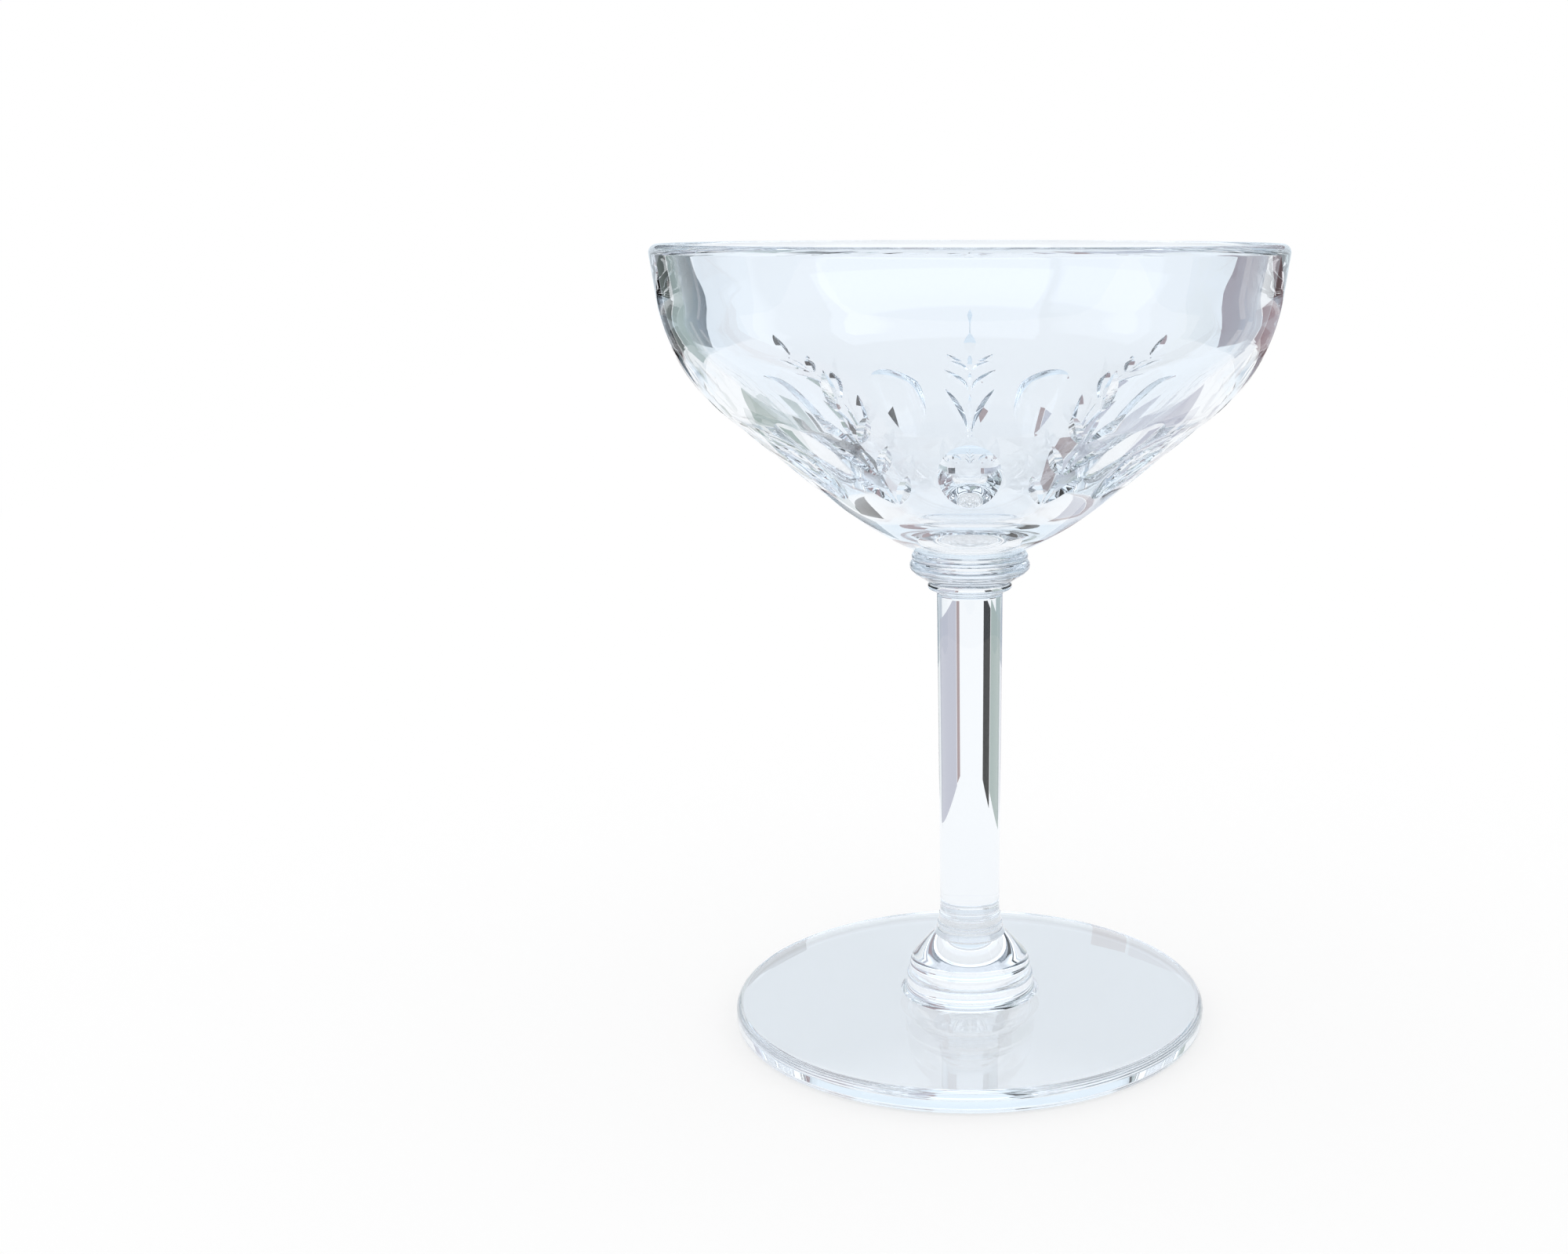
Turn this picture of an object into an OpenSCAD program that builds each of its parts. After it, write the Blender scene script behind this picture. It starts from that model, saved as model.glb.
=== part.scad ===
// Stemmed cocktail glass in clear cut crystal: a wide, shallow bowl on a slim stem and a round foot.
// Seven pieces, joined hot, sit face to face on one upright axis. The foot's underside is at z = 0.

/* [Bowl] */
// Outside diameter at the rim
rim_d = 93; // [84:0.5:104]
// Height of the bowl, from its seat to the top of the rim
bowl_h = 45.6; // [42:0.2:54]
// Diameter of the flat seat under the bowl
seat_d = 15.8; // [14:0.2:17]
// Thickness of the wall at the rim
rim_wall = 2.5; // [1.6:0.1:3.4]
// Thickness of the glass under the middle of the floor
floor_t = 4.9; // [3.6:0.1:7]
// Length of the straight wall under the lip
wall_l = 6.6; // [4:0.1:10]
// Lean of the straight wall from upright, in degrees
wall_lean = 8; // [4:0.5:12]
// Outside radius of the shoulder
shoulder_r = 26; // [20:0.5:32]
// Outside radius of the curve that rises from the seat
heel_r = 60; // [45:1:70]
// Slope of the outside at the edge of the seat, in degrees
heel_slope = 25; // [22:0.5:30]
// Inside radius of the rounded floor
floor_r = 26.5; // [22:0.5:32]
// Inside radius of the wide curve over the cone
inner_low_r = 30; // [28:0.5:32]
// Inside radius of the tighter curve over it, up to the straight wall
inner_high_r = 17.5; // [15:0.5:20]
// Slope at which the outside leans where the two inside curves meet, in degrees
join_lean = 32; // [30:0.5:34]
// Thickness of the wall there
join_wall = 3.2; // [2.9:0.05:3.5]
// How much more the inside leans there than the outside, in degrees
join_taper = 3.5; // [2.5:0.25:4.5]

/* [Cut pattern] */
// Number of ovals, and of the sprays between them
motif_count = 7; // [5:1:8]
// Distance from the top of the heel's curve up to the foot of every motif
motif_start = 2.3; // [1:0.1:4]
// Length of an oval
oval_l = 15.8; // [12:0.2:17]
// Width of an oval
oval_w = 8.9; // [6:0.1:10]
// Depth of an oval at its middle
oval_depth = 1.2; // [0.6:0.05:1.6]
// Width of the slender cuts that draw a spray's stalk, one to each pair of leaves
stalk_w = 0.7; // [0.5:0.05:1]
// Number of pairs of leaves on a stalk
leaf_pairs = 3; // [2:1:4]
// Distance along the stalk from one pair of leaves to the next
leaf_pitch = 7.3; // [6:0.1:9]
// Length of a leaf
leaf_l = 9; // [6:0.1:10]
// Width of a leaf
leaf_w = 2; // [1.2:0.1:2.6]
// Depth of a leaf, and of the bud, at its middle
leaf_depth = 0.55; // [0.35:0.05:0.8]
// Lean of a leaf away from its stalk, in degrees
leaf_lean = 26; // [18:1:34]
// Distance from the middle of the stalk to the root of a leaf
leaf_root = 0.4; // [0.3:0.05:1]
// Length of the bud at the tip of a spray
bud_l = 7.1; // [5:0.1:8.5]
// Width of the bud
bud_w = 2.2; // [1.4:0.1:3]

/* [Merese under the bowl] */
// Outside diameter of the lower of its two rounded rings
merese_d = 18.3; // [17.6:0.1:22]
// How much smaller the upper ring is across
merese_step = 0.6; // [0.2:0.1:1]
// Height from the collar to the bowl's seat
merese_h = 3.2; // [2.4:0.1:5]

/* [Collar] */
// Diameter where the collar meets the merese
collar_d = 17; // [15.5:0.1:17.4]
// Height from the stem to the merese
collar_h = 3.7; // [3:0.1:6]
// Outside diameter of the small bead round the collar
bead_d = 12.8; // [12:0.1:14]

/* [Stem] */
// Length of the stem
stem_l = 53.9; // [40:0.5:75]
// Diameter at the top
stem_top_d = 10; // [8:0.1:11]
// Diameter at the narrowest, above the flare
stem_low_d = 9.3; // [7.5:0.1:10.4]
// Diameter of the flared lower end
stem_foot_d = 11.2; // [10.6:0.1:13]
// Height of the flare
flare_h = 4.4; // [3:0.1:7]
// How far the two fine rings on the flare stand proud
ring_rise = 0.1; // [0.05:0.01:0.2]

/* [Base knop] */
// Greatest diameter of the bell-shaped knop
knop_d = 19; // [16:0.1:22]
// Height of the knop
knop_h = 6.6; // [5:0.1:9]
// Radius of the knop's rounded shoulder
knop_round_r = 3.2; // [2:0.1:4]
// Height of the upright band at the foot of the knop
knop_band_h = 1; // [0.6:0.1:2]

/* [Foot] */
// Diameter of the wafer between knop and foot
wafer_d = 19.9; // [18:0.1:24]
// Height of the wafer
wafer_h = 2.8; // [2:0.1:4]
// Radius of the hollow curve from the wafer down to the foot
wafer_cove_r = 1.6; // [1:0.1:1.9]
// Diameter of the foot
foot_d = 73.7; // [60:0.5:84]
// Thickness of the foot at its middle
foot_h = 4.2; // [3.7:0.1:6]
// Thickness of the foot at its edge
foot_edge_h = 3.5; // [2.9:0.1:3.6]
// Radius of the foot's upper edge
edge_top_r = 1.3; // [0.6:0.1:1.6]
// Radius of the foot's lower edge
edge_low_r = 1.2; // [0.6:0.1:1.6]

/* [Hidden] */
$fn = 96;

// The clear glass, a very pale blue, half transparent
glass_tint = [0.86, 0.93, 0.97, 0.5];
// How far the straight steps of an arc may stray from it
arc_sag = 0.02;
// How far a cutting wheel reaches past the surface and the ends of its cut
overrun = 0.4;

// Heights of the seats, each piece on the one below
wafer_z = foot_h;
knop_z = wafer_z + wafer_h;
stem_z = knop_z + knop_h;
collar_z = stem_z + stem_l;
merese_z = collar_z + collar_h;
bowl_z = merese_z + merese_h;

// Unit vector at an angle in the plane of a profile, [outwards, up]
function heading(angle) = [cos(angle), sin(angle)];

// Points of an arc, from one angle to another
function arc(centre, radius, from, to) =
    let (steps = ceil(abs(to - from) / (2 * acos(1 - arc_sag / radius))))
    [for (i = [0:steps]) centre + radius * heading(from + (to - from) * i / steps)];

// Angle of the outward normal of the line that touches two circles on that side.
// A negative second radius puts the second circle on the other side of the line.
function touching(centre_a, radius_a, centre_b, radius_b) =
    let (v = centre_b - centre_a)
    atan2(v.y, v.x) - acos((radius_a - radius_b) / norm(v));

// The bowl's profile outside: circles for the heel, shoulder and lip, and the lines that touch them
lip_r = rim_wall / 2;
lip_c = [rim_d / 2 - lip_r, bowl_h - lip_r];
shoulder_c = lip_c - wall_l * heading(90 - wall_lean) - (shoulder_r - lip_r) * heading(-wall_lean);
heel_c = [seat_d / 2, 0] - heel_r * heading(heel_slope - 90);
cone_normal = touching(heel_c, heel_r, shoulder_c, shoulder_r);

// The profile inside: circles for the floor and for two curves that meet smoothly, and their lines
join_normal = -join_lean - join_taper;
join_spot = shoulder_c + (shoulder_r - join_wall) * heading(-join_lean);
inner_low_c = join_spot - inner_low_r * heading(join_normal);
inner_high_c = join_spot - inner_high_r * heading(join_normal);
floor_c = [0, floor_t + floor_r];
inner_cone_normal = touching(floor_c, floor_r, inner_low_c, inner_low_r);
inner_wall_normal = touching(inner_high_c, inner_high_r, lip_c, -lip_r);

// The straight cone outside, from the heel up to the shoulder
cone_low = heel_c + heel_r * heading(cone_normal);
cone_high = shoulder_c + shoulder_r * heading(cone_normal);
cone_l = norm(cone_high - cone_low);

// Turn round the shoulder at a distance up the outside, zero while it is still on the cone
function turn_at(up) = max(0, up - cone_l) / shoulder_r * 180 / PI;

// Angle of the outward normal at a distance up the outside
function normal_at(up) = cone_normal + turn_at(up);

// Point of the outside at a distance up from the top of the heel
function point_at(up) =
    up < cone_l ? cone_low + up * heading(cone_normal + 90)
                : shoulder_c + shoulder_r * heading(normal_at(up));

// Radius of the wheel that leaves a cut of a length and depth on a surface of a given bend
function wheel_r(length, depth, bend) = 1 / (8 * depth / (length * length) - bend);

// The rounded wheel that cuts the ovals: its edge is as round as the oval's width needs
oval_bend = cos(cone_normal) / point_at(motif_start + oval_l / 2).x;
oval_wheel_r = wheel_r(oval_l, oval_depth, 0);
oval_edge_r = wheel_r(oval_w, oval_depth, oval_bend);

// The pointed wheels that cut the leaves and buds
leaf_wheel_r = wheel_r(leaf_l, leaf_depth, 0);
bud_wheel_r = wheel_r(bud_l, leaf_depth, 1 / shoulder_r);

// The stalk's cuts are as sharp as a leaf, and run end to end from the foot of the motif to the bud
stalk_depth = stalk_w * leaf_depth / leaf_w;
stalk_l = leaf_pairs * leaf_pitch;

// Stands its children on a spot of the bowl's profile: X up the bowl, Z along an outward normal
module on_profile(spot, normal, aside = 0) {
    rotate([0, 0, aside])
        translate([spot.x, 0, spot.y])
            rotate([0, 90 - normal, 0])
                rotate([0, 0, 180])
                    children();
}

// Stands its children on the outside of the bowl, at a distance up it
module on_bowl(up, aside = 0) {
    on_profile(point_at(up), normal_at(up), aside)
        children();
}

// The pointed section of a wheel's edge: its point is at the radius, and it is as high as reach
module mitre(radius, depth, width, reach) {
    half_w = reach * width / (2 * depth);
    polygon([[radius, 0], [radius - reach, half_w], [radius - reach, -half_w]]);
}

// The part of a pointed wheel that cuts: upright along X, sunk to a depth, a little longer than its cut
module pointed_wheel(radius, length, depth, width) {
    half_turn = asin((length / 2 + overrun) / radius);
    translate([0, 0, radius - depth])
        rotate([90, 0, 0])
            rotate([0, 0, -90 - half_turn])
                rotate_extrude(angle = 2 * half_turn)
                    mitre(radius, depth, width, depth + overrun);
}

// An oval, cut by the rounded edge of a wheel that stands upright along the bowl's wall
module oval() {
    on_bowl(motif_start + oval_l / 2)
        translate([0, 0, oval_wheel_r - oval_depth])
            rotate([90, 0, 0])
                rotate_extrude()
                    translate([oval_wheel_r - oval_edge_r, 0])
                        circle(oval_edge_r);
}

// The stalk of a spray: slender pointed cuts, end to end. Each is set on the straight line between its
// ends, and where the shoulder bulges over that line it is sunk less below it.
module stalk() {
    least_sink_share = 0.4;
    for (pair = [0:leaf_pairs - 1]) {
        low_up = motif_start + pair * leaf_pitch;
        low = point_at(low_up);
        run = point_at(low_up + leaf_pitch) - low;
        middle = low + run / 2;
        normal = atan2(run.y, run.x) - 90;
        bulge = (point_at(low_up + leaf_pitch / 2) - middle) * heading(normal);
        sink = max(stalk_depth - bulge, least_sink_share * stalk_depth);
        cut_w = sink * leaf_w / leaf_depth;
        on_profile(middle, normal)
            pointed_wheel(wheel_r(norm(run), sink, 0), norm(run), sink, cut_w);
    }
}

// The pairs of pointed leaves along a stalk, leaning away from it
module leaves() {
    for (pair = [0:leaf_pairs - 1]) {
        up = motif_start + pair * leaf_pitch + leaf_l / 2 * cos(leaf_lean);
        aside = (leaf_root + leaf_l / 2 * sin(leaf_lean)) / point_at(up).x * 180 / PI;
        for (side = [-1, 1])
            on_bowl(up, -side * aside)
                rotate([0, 0, side * leaf_lean])
                    pointed_wheel(leaf_wheel_r, leaf_l, leaf_depth, leaf_w);
    }
}

// The bud at the tip of a stalk
module bud() {
    on_bowl(motif_start + stalk_l + bud_l / 2)
        pointed_wheel(bud_wheel_r, bud_l, leaf_depth, bud_w);
}

// Repeats a motif round the bowl, turned from the front by a share of the step between two
module round_the_bowl(turn_share) {
    front = -90;
    for (i = [0:motif_count - 1])
        rotate([0, 0, front + (i + turn_share) * 360 / motif_count])
            children();
}

// The bowl as it is blown, before any cutting
module blown_bowl() {
    rotate_extrude()
        polygon(concat(
            [[0, 0]],
            arc(heel_c, heel_r, heel_slope - 90, cone_normal),
            arc(shoulder_c, shoulder_r, cone_normal, -wall_lean),
            arc(lip_c, lip_r, -wall_lean, inner_wall_normal + 180),
            arc(inner_high_c, inner_high_r, inner_wall_normal, join_normal),
            arc(inner_low_c, inner_low_r, join_normal, inner_cone_normal),
            arc(floor_c, floor_r, inner_cone_normal, -90)
        ));
}

// The bowl, with ovals and sprays of leaves cut by turns round its outside
module bowl() {
    spray_turn_share = 0.5;
    color(glass_tint)
        translate([0, 0, bowl_z])
            difference() {
                difference() {
                    blown_bowl();
                    round_the_bowl(0) oval();
                    round_the_bowl(spray_turn_share) stalk();
                }
                round_the_bowl(spray_turn_share) {
                    leaves();
                    bud();
                }
            }
}

// The merese: a wafer of glass pressed into two rounded rings
module merese() {
    ring_z_shares = [0.33, 0.75];
    ring_r_shares = [0.3, 0.2];
    ring_rs = merese_h * ring_r_shares;
    ring_ds = [merese_d, merese_d - merese_step];
    ring_cs = [for (i = [0, 1]) [ring_ds[i] / 2 - ring_rs[i], ring_z_shares[i] * merese_h]];
    color(glass_tint)
        translate([0, 0, merese_z])
            rotate_extrude() {
                polygon([
                    [0, 0],
                    [collar_d / 2, 0],
                    each ring_cs,
                    [seat_d / 2, merese_h],
                    [0, merese_h]
                ]);
                for (i = [0, 1])
                    translate(ring_cs[i])
                        circle(ring_rs[i]);
            }
}

// The collar: a hollow curve up from the stem, a small bead, and a cone out to the merese
module collar() {
    cove_turn = 65;
    cove_r_share = 0.3;
    bead_z_share = 0.43;
    bead_r_share = 0.15;
    cove_r = cove_r_share * collar_h;
    bead_r = bead_r_share * collar_h;
    bead_c = [bead_d / 2 - bead_r, bead_z_share * collar_h];
    color(glass_tint)
        translate([0, 0, collar_z])
            rotate_extrude() {
                polygon(concat(
                    [[0, 0]],
                    arc([stem_top_d / 2 + cove_r, 0], cove_r, 180, 180 - cove_turn),
                    [bead_c + [0, bead_r / 2], [collar_d / 2, collar_h], [0, collar_h]]
                ));
                translate(bead_c)
                    circle(bead_r);
            }
}

// The drawn stem: a slow taper, and a flare with two fine rings at its lower end
module stem() {
    ring_z_shares = [0.38, 0.7];
    ring_rise_share = 1 / 3;
    ring_r = ring_rise / ring_rise_share;
    flare_w = (stem_foot_d - stem_low_d) / 2;
    flare_r = (flare_h * flare_h + flare_w * flare_w) / (2 * flare_w);
    flare_c = [stem_low_d / 2 + flare_r, flare_h];
    color(glass_tint)
        translate([0, 0, stem_z])
            rotate_extrude() {
                polygon(concat(
                    [[0, 0]],
                    arc(flare_c, flare_r, 180 + asin(flare_h / flare_r), 180),
                    [[stem_top_d / 2, stem_l], [0, stem_l]]
                ));
                for (share = ring_z_shares) {
                    drop = (1 - share) * flare_h;
                    surface_r = flare_c.x - sqrt(flare_r * flare_r - drop * drop);
                    translate([surface_r + ring_rise - ring_r, share * flare_h])
                        circle(ring_r);
                }
            }
}

// The base knop: a solid bell, with a rounded shoulder over an upright band
module base_knop() {
    edge_share = 0.4;
    edge_r = edge_share * knop_band_h;
    round_c = [knop_d / 2 - knop_round_r, knop_band_h];
    top_edge = [stem_foot_d / 2, knop_h];
    color(glass_tint)
        translate([0, 0, knop_z])
            rotate_extrude()
                polygon(concat(
                    [[0, 0]],
                    arc([knop_d / 2 - edge_r, edge_r], edge_r, -90, 0),
                    arc(round_c, knop_round_r, 0, touching(round_c, knop_round_r, top_edge, 0)),
                    [top_edge, [0, knop_h]]
                ));
}

// The wafer's hollow curve stops short of level, so that its lower edge isn't a feather
wafer_cove_share = 0.9;
wafer_cove_h = wafer_cove_share * wafer_cove_r;
wafer_cove_turn = asin(wafer_cove_share);
wafer_low_r = wafer_d / 2 + wafer_cove_r * (1 - cos(wafer_cove_turn));

// The wafer: the disc of glass that joins the knop to the foot
module foot_wafer() {
    edge_share = 0.12;
    edge_r = edge_share * wafer_h;
    cove_c = [wafer_d / 2 + wafer_cove_r, wafer_cove_h];
    color(glass_tint)
        translate([0, 0, wafer_z])
            rotate_extrude()
                polygon(concat(
                    [[0, 0]],
                    arc(cove_c, wafer_cove_r, 180 + wafer_cove_turn, 180),
                    arc([wafer_d / 2 - edge_r, wafer_h - edge_r], edge_r, 0, 90),
                    [[0, wafer_h]]
                ));
}

// The foot: a round plate, flat below, a little thicker at its middle, with a rounded edge
module foot() {
    crown_edge = [wafer_low_r, foot_h];
    edge_c = [foot_d / 2 - edge_top_r, foot_edge_h - edge_top_r];
    color(glass_tint)
        rotate_extrude()
            polygon(concat(
                [[0, 0]],
                arc([foot_d / 2 - edge_low_r, edge_low_r], edge_low_r, -90, 0),
                arc(edge_c, edge_top_r, 0, touching(edge_c, edge_top_r, crown_edge, 0)),
                [crown_edge, [0, foot_h]]
            ));
}

bowl();
merese();
collar();
stem();
base_knop();
foot_wafer();
foot();
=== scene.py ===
import math

import bpy
import numpy as np
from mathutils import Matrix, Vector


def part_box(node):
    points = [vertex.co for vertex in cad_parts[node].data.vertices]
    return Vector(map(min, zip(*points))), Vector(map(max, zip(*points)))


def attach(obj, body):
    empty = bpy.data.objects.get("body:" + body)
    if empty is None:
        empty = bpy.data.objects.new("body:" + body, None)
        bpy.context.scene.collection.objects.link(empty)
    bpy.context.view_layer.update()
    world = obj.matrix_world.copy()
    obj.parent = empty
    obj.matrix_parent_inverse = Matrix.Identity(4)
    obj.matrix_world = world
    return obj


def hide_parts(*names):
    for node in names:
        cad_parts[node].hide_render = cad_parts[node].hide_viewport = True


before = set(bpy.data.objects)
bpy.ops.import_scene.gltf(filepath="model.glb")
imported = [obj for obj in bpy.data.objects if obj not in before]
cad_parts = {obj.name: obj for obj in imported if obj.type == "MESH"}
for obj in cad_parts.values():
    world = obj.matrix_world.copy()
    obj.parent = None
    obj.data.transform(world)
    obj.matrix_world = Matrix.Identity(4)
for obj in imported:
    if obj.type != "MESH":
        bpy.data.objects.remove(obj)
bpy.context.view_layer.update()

# A stemmed cocktail glass in clear cut crystal. Outlines are in millimetres, meshes in metres.
mm = 0.001
axisNear = 0.001  # an outline point this close to the axis lies on it
scene = bpy.context.scene
print("frame loaded:", ", ".join(sorted(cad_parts)))


# Lower level, height and outside radius of a CAD node, in millimetres
def nodeSize(node):
    low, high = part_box(node)
    return low.z / mm, high.z / mm - low.z / mm, (high.x - low.x) / 2 / mm


# Unit vector at an angle from level, as [outwards, up]
def heading(angle):
    return np.array([math.cos(math.radians(angle)), math.sin(math.radians(angle))])


# Points of a circle: the centre plus the radius times the heading, from one angle to another
def arcPoints(centre, radius, start, end, step=0.05):
    count = max(3, int(abs(math.radians(end - start)) * radius / step) + 2)
    turn = np.radians(np.linspace(start, end, count))
    return np.stack([centre[0] + radius * np.cos(turn), centre[1] + radius * np.sin(turn)], 1)


# Angle of the outward normal of the line that touches two circles on that side: the angle of the way
# between their centres, less the angle whose cosine is the radii's difference over that way
def touching(centreA, radiusA, centreB, radiusB):
    way = np.subtract(centreB, centreA)
    lean = math.acos((radiusA - radiusB) / np.hypot(*way))
    return math.degrees(math.atan2(way[1], way[0]) - lean)


# The outline of fire-polished glass: the path is averaged over a short stretch, so that each corner
# turns round, and its points are then spread by length and by turn together. Gives the points and
# the angles of their normals.
def firePolish(path, soften, lengthStep=1.4, turnStep=5.0, fine=0.02):
    path = np.asarray(path, float)
    way = np.concatenate([[0], np.cumsum(np.hypot(*np.diff(path, axis=0).T))])
    even = np.linspace(0, way[-1], int(way[-1] / fine) + 1)
    dense = np.stack([np.interp(even, way, path[:, k]) for k in (0, 1)], 1)
    # bell-shaped weights out to three stretches, and each end carried on as its own half turn
    half = int(3 * soften / fine)
    weights = np.exp(-0.5 * (np.arange(-half, half + 1) * fine / soften) ** 2)
    weights = weights / weights.sum()
    before = 2 * dense[0] - dense[half:0:-1]
    after = 2 * dense[-1] - dense[-2:-half - 2:-1]
    padded = np.concatenate([before, dense, after])
    smooth = np.stack([np.convolve(padded[:, k], weights, "valid") for k in (0, 1)], 1)
    slope = np.gradient(smooth, axis=0)
    turn = np.unwrap(np.arctan2(slope[:, 1], slope[:, 0]))
    step = np.hypot(*np.diff(smooth, axis=0).T)
    pace = step / lengthStep + np.abs(np.diff(turn)) / math.radians(turnStep)
    measure = np.concatenate([[0], np.cumsum(pace)])
    picks = np.linspace(0, measure[-1], int(math.ceil(measure[-1])) + 1)
    points = np.stack([np.interp(picks, measure, smooth[:, k]) for k in (0, 1)], 1)
    return points, np.interp(picks, measure, turn) - math.pi / 2


# A turned surface: each outline point [r, z] goes round the axis as [r cos t, r sin t, z]
def turned(points, columns, lift):
    t = np.arange(columns) * 2 * math.pi / columns
    r = points[:, :1]
    z = np.broadcast_to(points[:, 1:] + lift, (len(points), columns))
    return np.stack([r * np.cos(t), r * np.sin(t), z], -1)


# Its normals: the outline's normal at angle a goes round as [cos a cos t, cos a sin t, sin a]
def turnedNormals(angles, columns):
    t = np.arange(columns) * 2 * math.pi / columns
    a = angles[:, None]
    up = np.broadcast_to(np.sin(a), (len(angles), columns))
    return np.stack([np.cos(a) * np.cos(t), np.cos(a) * np.sin(t), up], -1)


# The four corners of each cell between neighbouring rings, as row and column numbers
def cellCorners(rows, columns):
    i, j = (x.ravel() for x in np.meshgrid(np.arange(rows - 1), np.arange(columns), indexing="ij"))
    k = (j + 1) % columns
    return np.stack([i, i, i + 1, i + 1], 1), np.stack([j, k, k, j], 1)


# The triangles between a pole and a ring, wound to face up or down
def fanCorners(columns, faceUp):
    j = np.arange(columns)
    k = (j + 1) % columns
    return np.stack([j, k], 1) if faceUp else np.stack([k, j], 1)


# Collects a piece's points, faces and corner normals, and makes its mesh. Slot 0 is the crystal and
# slot 1 the fused joint.
class Piece:
    def __init__(self):
        self.points, self.faces, self.normals, self.slots = [], [], [], []
        self.count = 0

    def addPoints(self, points):
        first = self.count
        self.points.append(points.reshape(-1, 3))
        self.count += len(self.points[-1])
        return first

    def addFaces(self, faces, normals, slot=0):
        self.faces += faces.tolist()
        self.normals.append(normals.reshape(-1, 3))
        self.slots.append(np.full(len(faces), slot))

    # Rings of a turned outline, with cells between them
    def addRings(self, points, angles, columns, lift):
        first = self.addPoints(turned(points, columns, lift))
        normals = turnedNormals(angles, columns)
        i, j = cellCorners(len(points), columns)
        self.addFaces(first + i * columns + j, normals[i, j])
        return first

    # A flat or rounded end: triangles from a pole on the axis to a ring
    def addFan(self, height, firstOfRing, columns, faceUp, slot, ringNormals=None):
        pole = self.addPoints(np.array([[0, 0, height]]))
        upright = np.array([0, 0, 1.0 if faceUp else -1.0])
        ring = fanCorners(columns, faceUp)
        faces = np.concatenate([np.full((columns, 1), pole), firstOfRing + ring], 1)
        normals = np.broadcast_to(upright, (columns, 3, 3)).copy()
        if ringNormals is not None:
            normals[:, 1:] = ringNormals[ring]
        self.addFaces(faces, normals, slot)

    def make(self, name, node):
        mesh = bpy.data.meshes.new(name)
        mesh.from_pydata((np.concatenate(self.points) * mm).tolist(), [], self.faces)
        slots = np.concatenate(self.slots).astype(np.int32)
        mesh.polygons.foreach_set("material_index", slots)
        mesh.polygons.foreach_set("use_smooth", np.ones(len(slots), bool))
        mesh.normals_split_custom_set(np.concatenate(self.normals).tolist())
        mesh.materials.append(crystal)
        mesh.materials.append(fusedJoint)
        made = bpy.data.objects.new(name, mesh)
        scene.collection.objects.link(made)
        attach(made, "root")
        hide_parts(node)
        print(name, "made with", len(slots), "faces")


# A piece that is turned all over, with a fused joint face at each end that isn't on the axis
def turnedPiece(name, node, path, size):
    base, columns = nodeSize(node)[0], size["columns"]
    points, angles = firePolish(path, size["soften"])
    piece = Piece()
    startsOnAxis = points[0, 0] < axisNear
    if startsOnAxis:
        points, angles = points[1:], angles[1:]
    first = piece.addRings(points, angles, columns, base)
    last = first + (len(points) - 1) * columns
    piece.addFan(base + path[0][1], first, columns, False, 0 if startsOnAxis else 1)
    piece.addFan(base + path[-1][1], last, columns, True, 1)
    piece.make(name, node)


# A node of a kind in a tree, with its inputs set by name
def addNode(tree, kind, **inputs):
    made = tree.nodes.new(kind)
    for name, value in inputs.items():
        made.inputs[name].default_value = value
    return made


# Clear lead crystal: a faint blue tint, slow waves left by the drawing, and a few dull handling marks
# where a fine noise rises from one level to another
crystalLook = dict(tint=(0.93, 0.965, 1.0, 1), ior=1.53,
                   waveSize=11.0, waveDetail=1.0, waveRise=0.002,
                   markSize=5.0, markDetail=4.0, markFrom=0.58, markTo=0.75, dull=0.02)


def makeCrystal(look):
    made = bpy.data.materials.new("clear_crystal")
    made.use_nodes = True
    tree = made.node_tree
    shader = tree.nodes["Principled BSDF"]
    shader.inputs["Base Color"].default_value = look["tint"]
    shader.inputs["IOR"].default_value = look["ior"]
    shader.inputs["Transmission Weight"].default_value = 1.0
    place = tree.nodes.new("ShaderNodeTexCoord")
    wave = addNode(tree, "ShaderNodeTexNoise", Scale=1 / (look["waveSize"] * mm),
                   Detail=look["waveDetail"])
    bump = addNode(tree, "ShaderNodeBump", Strength=1.0, Distance=look["waveRise"] * mm)
    tree.links.new(place.outputs["Object"], wave.inputs["Vector"])
    tree.links.new(wave.outputs["Fac"], bump.inputs["Height"])
    tree.links.new(bump.outputs["Normal"], shader.inputs["Normal"])
    mark = addNode(tree, "ShaderNodeTexNoise", Scale=1 / (look["markSize"] * mm),
                   Detail=look["markDetail"])
    rough = addNode(tree, "ShaderNodeMapRange", **{
        "From Min": look["markFrom"], "From Max": look["markTo"], "To Max": look["dull"]})
    tree.links.new(place.outputs["Object"], mark.inputs["Vector"])
    tree.links.new(mark.outputs["Fac"], rough.inputs["Value"])
    tree.links.new(rough.outputs["Result"], shader.inputs["Roughness"])
    return made


# Where two gathers were joined hot the glass runs on, so light passes that face unbent
def makeFusedJoint():
    made = bpy.data.materials.new("fused_joint")
    made.use_nodes = True
    tree = made.node_tree
    tree.nodes.clear()
    clear = addNode(tree, "ShaderNodeBsdfTransparent", Color=(1, 1, 1, 1))
    out = tree.nodes.new("ShaderNodeOutputMaterial")
    tree.links.new(clear.outputs[0], out.inputs["Surface"])
    return made


crystal = makeCrystal(crystalLook)
fusedJoint = makeFusedJoint()
print("crystal mixed")

# The foot: a round plate, flat below, a little thicker at its middle
foot = dict(edgeHeight=3.5, edgeTop=1.3, edgeLow=1.2, crownRadius=10.85, columns=192, soften=0.06)


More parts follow.
